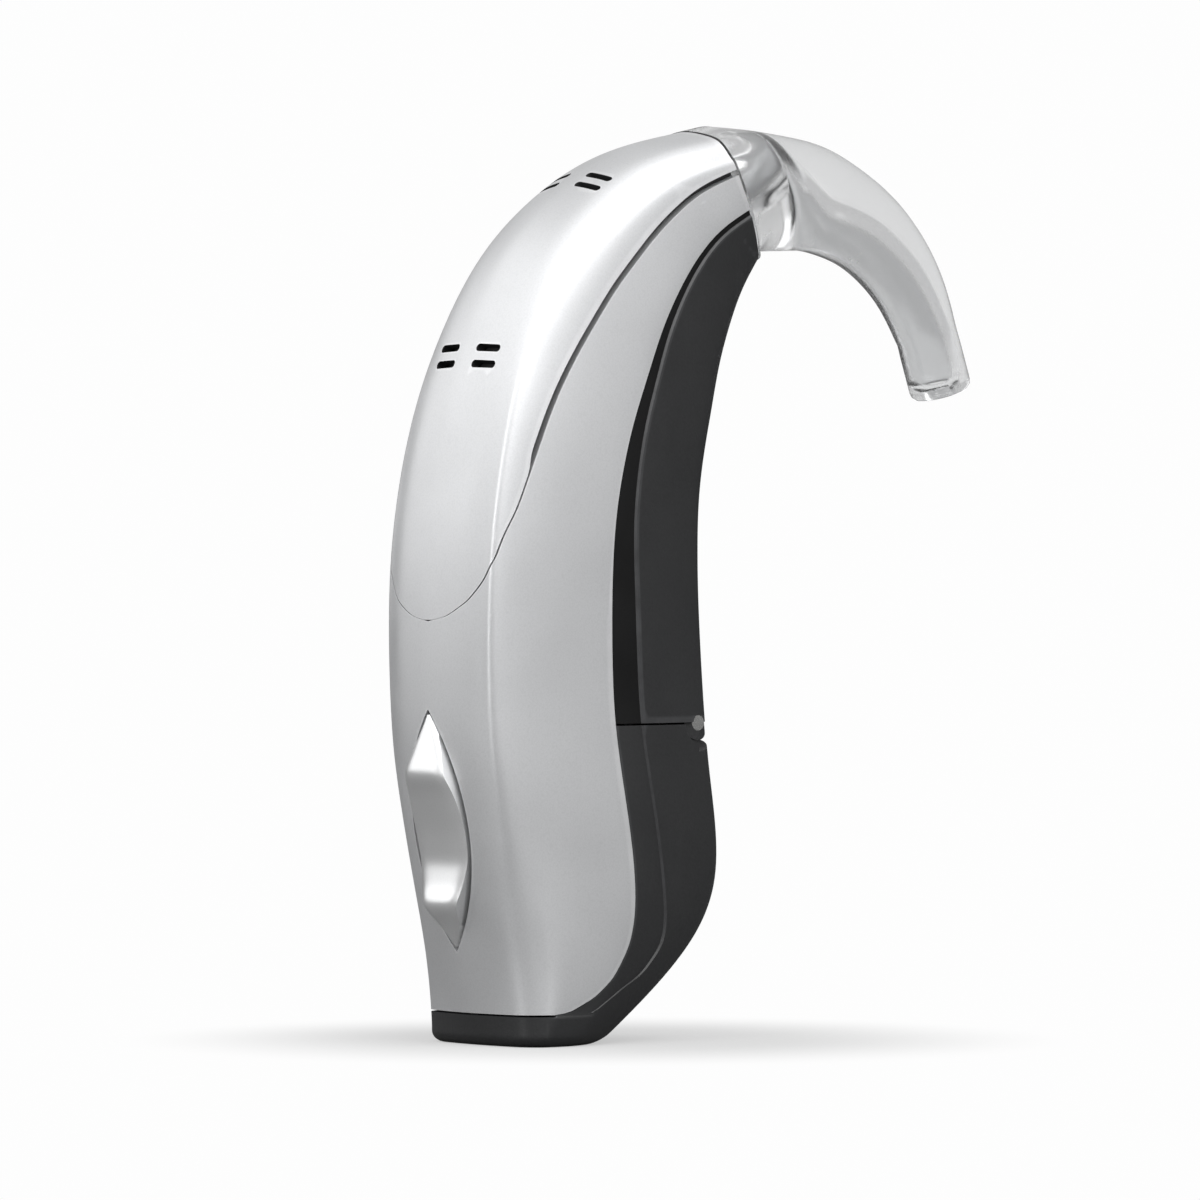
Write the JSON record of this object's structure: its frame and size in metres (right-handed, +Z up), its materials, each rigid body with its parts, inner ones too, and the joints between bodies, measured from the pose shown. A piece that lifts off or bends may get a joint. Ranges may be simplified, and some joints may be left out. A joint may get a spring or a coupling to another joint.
{
  "type": "behind-the-ear hearing aid",
  "caption": "Curved two-tone case worn behind the ear, with a clear ear hook, a hinged battery door and a volume rocker.",
  "frame": {"origin": "centre of the flat foot on the battery door's lower end", "axes": "+Z up along the standing case, +X from the spine towards the ear hook, +Y across the thickness"},
  "size_m": [0.0335, 0.0094, 0.0453],
  "materials": {
    "silver_shell": "satin metallic silver lacquer on moulded plastic",
    "black_shell": "satin black moulded plastic",
    "steel": "drawn stainless steel",
    "cell_steel": "nickel plated can",
    "gold_spring": "gold plated spring",
    "clear_hook": "clear polished plastic",
    "nozzle_plastic": "natural moulded plastic",
    "silver_rocker": "satin metallic silver lacquer",
    "frame_plastic": "matt moulded plastic",
    "board_green": "solder mask",
    "mic_metal": "drawn can",
    "soft_black": "soft silicone",
    "screen_mesh": "fine mesh",
    "clear_tube": "translucent silicone",
    "copper_coil": "enamelled copper wire",
    "chip_black": "moulded package",
    "ceramic_parts": "ceramic"
  },
  "bodies": {
    "case": {"main_housing": "silver_shell", "microphone_cover": "silver_shell", "belly_shell": "black_shell", "door_hinge_pin": "steel", "battery_contact_positive": "gold_spring", "battery_contact_negative": "gold_spring", "programming_pads": "gold_spring", "hook_nozzle": "nozzle_plastic", "rocker_pin": "steel", "rocker_bracket": "frame_plastic", "rocker_switch_board": "board_green", "dome_switches": "steel", "front_microphone": "mic_metal", "rear_microphone": "mic_metal", "front_microphone_sleeve": "soft_black", "rear_microphone_sleeve": "soft_black", "microphone_screens": "screen_mesh", "receiver": "mic_metal", "receiver_boot": "soft_black", "sound_tube": "clear_tube", "telecoil": "copper_coil", "circuit_board": "board_green", "processor_chip": "chip_black", "board_components": "ceramic_parts", "electronics_frame": "frame_plastic"},
    "door": {"battery_door": "black_shell", "battery_cell": "cell_steel"},
    "rocker": {"volume_rocker": "silver_rocker"},
    "hook": {"ear_hook": "clear_hook"}
  },
  "joints": [
    {"name": "door_hinge", "type": "hinge", "parent": "case", "child": "door", "pos_m": [0.00864, 0, 0.0157], "axis": [0, -1, 0], "range_deg": [0, 75]},
    {"name": "rocker_pivot", "type": "hinge", "parent": "case", "child": "rocker", "pos_m": [-0.0027, 0, 0.01079], "axis": [0, 1, 0], "range_deg": [-4, 4], "stiffness_Nm_per_rad": 0.005},
    {"name": "hook_swivel", "type": "hinge", "parent": "case", "child": "hook", "pos_m": [0.01192, 0, 0.04176], "axis": [0.9047, 0, 0.426], "range_deg": [-90, 90]}
  ]
}
